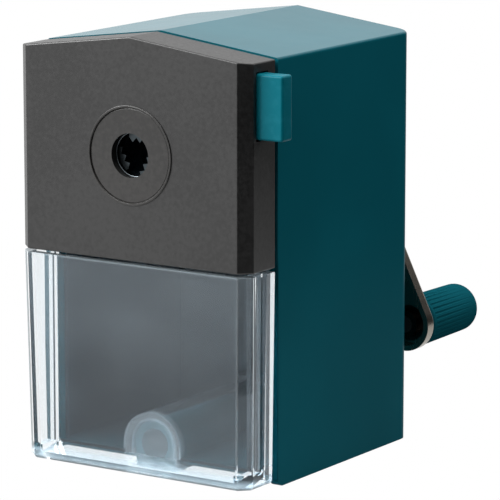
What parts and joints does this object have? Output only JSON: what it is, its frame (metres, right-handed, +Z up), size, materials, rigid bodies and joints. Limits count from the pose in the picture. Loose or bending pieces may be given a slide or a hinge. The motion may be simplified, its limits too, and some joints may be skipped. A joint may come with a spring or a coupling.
{
  "type": "desktop pencil sharpener",
  "caption": "Desktop crank pencil sharpener with a gabled shell, a sprung pull-out front, a side button that opens the pencil jaws, a clear shavings drawer and a ribbed crank knob.",
  "frame": {"origin": "middle of the shell's width and depth, on the underside of the base plate, where it stands on a table", "axes": "+Z up, -Y the way the front face looks and the front and the drawer pull out, +X the side with the chuck button"},
  "size_m": [0.0761, 0.1124, 0.1114],
  "materials": {
    "teal_shell": "deep teal, smooth moulded, soft gloss",
    "teal_tab": "brighter teal, smooth moulded",
    "dark_plastic": "charcoal, fine satin",
    "clear_plastic": "clear, polished",
    "zinc_steel": "zinc plated",
    "bright_steel": "ground",
    "spring_steel": "drawn wire",
    "sintered_bronze": "oiled, matte",
    "pale_nylon": "natural nylon",
    "grey_casting": "plain casting",
    "tool_steel": "ground and hardened",
    "dark_steel": "blackened",
    "arm_steel": "bronze-grey plating"
  },
  "bodies": {
    "body": {"body_shell": "teal_shell", "base_plate": "teal_shell", "base_screws": "zinc_steel", "bay_cheek_left": "dark_plastic", "bay_cheek_right": "dark_plastic", "bay_shelf": "dark_plastic", "frame_front": "dark_plastic", "frame_rear": "dark_plastic", "frame_screws": "zinc_steel", "rear_bush": "sintered_bronze", "guide_bushes": "pale_nylon", "ring_gear": "pale_nylon", "ring_screws": "zinc_steel", "feed_spring_left": "spring_steel", "feed_spring_right": "spring_steel"},
    "front": {"front_housing": "dark_plastic", "pencil_bezel": "dark_plastic", "chuck_plate": "dark_plastic", "chuck_screws": "zinc_steel", "jaw_pins": "zinc_steel", "guide_rods": "bright_steel", "rod_clips": "zinc_steel", "button_spring": "spring_steel"},
    "button": {"chuck_button": "teal_tab"},
    "cam": {"cam_ring": "pale_nylon"},
    "jaw_1": {"jaw_1": "dark_steel"},
    "jaw_2": {"jaw_2": "dark_steel"},
    "jaw_3": {"jaw_3": "dark_steel"},
    "crank": {"cutter_carrier": "grey_casting", "crank_arm": "arm_steel", "crank_screw": "zinc_steel", "knob_pin": "bright_steel"},
    "cutter": {"cutter_axle": "bright_steel", "helical_cutter": "tool_steel", "cutter_pinion": "tool_steel"},
    "knob": {"crank_knob": "teal_shell"},
    "drawer": {"drawer": "clear_plastic"}
  },
  "joints": [
    {"name": "front_slide", "type": "slide", "parent": "body", "child": "front", "axis": [0, -1, 0], "range_m": [0, 0.028], "stiffness_N_per_m": 120, "springref_m": -0.012, "deforming": ["feed_spring_left", "feed_spring_right"]},
    {"name": "chuck_press", "type": "slide", "parent": "front", "child": "button", "axis": [-1, 0, 0], "range_m": [0, 0.004], "stiffness_N_per_m": 700, "springref_m": -0.002, "deforming": ["button_spring"]},
    {"name": "cam_turn", "type": "hinge", "parent": "front", "child": "cam", "pos_m": [0, -0.039, 0.082], "axis": [0, -1, 0], "range_deg": [0, 14.4]},
    {"name": "jaw_1_swing", "type": "hinge", "parent": "front", "child": "jaw_1", "pos_m": [0.01472, -0.041, 0.0905], "axis": [0, 1, 0], "range_deg": [0, 28.9]},
    {"name": "jaw_2_swing", "type": "hinge", "parent": "front", "child": "jaw_2", "pos_m": [-0.01472, -0.041, 0.0905], "axis": [0, 1, 0], "range_deg": [0, 28.9]},
    {"name": "jaw_3_swing", "type": "hinge", "parent": "front", "child": "jaw_3", "pos_m": [0, -0.041, 0.065], "axis": [0, 1, 0], "range_deg": [0, 28.9]},
    {"name": "crank_turn", "type": "hinge", "parent": "body", "child": "crank", "pos_m": [0, 0.02, 0.082], "axis": [0, 1, 0], "continuous": true},
    {"name": "cutter_spin", "type": "hinge", "parent": "crank", "child": "cutter", "pos_m": [0, 0.04007, 0.082], "axis": [0, 0.9816, -0.1908], "continuous": true},
    {"name": "knob_spin", "type": "hinge", "parent": "crank", "child": "knob", "pos_m": [0.0292, 0.05, 0.02867], "axis": [0, 1, 0], "continuous": true},
    {"name": "drawer_slide", "type": "slide", "parent": "body", "child": "drawer", "axis": [0, -1, 0], "range_m": [0, 0.05]}
  ],
  "couplings": [
    {"joint": "cam_turn", "follows": "chuck_press", "rad_per_m": 62.5},
    {"joint": "jaw_1_swing", "follows": "chuck_press", "rad_per_m": 125.54},
    {"joint": "jaw_2_swing", "follows": "chuck_press", "rad_per_m": 125.54},
    {"joint": "jaw_3_swing", "follows": "chuck_press", "rad_per_m": 125.54},
    {"joint": "cutter_spin", "follows": "crank_turn", "ratio": -3}
  ]
}
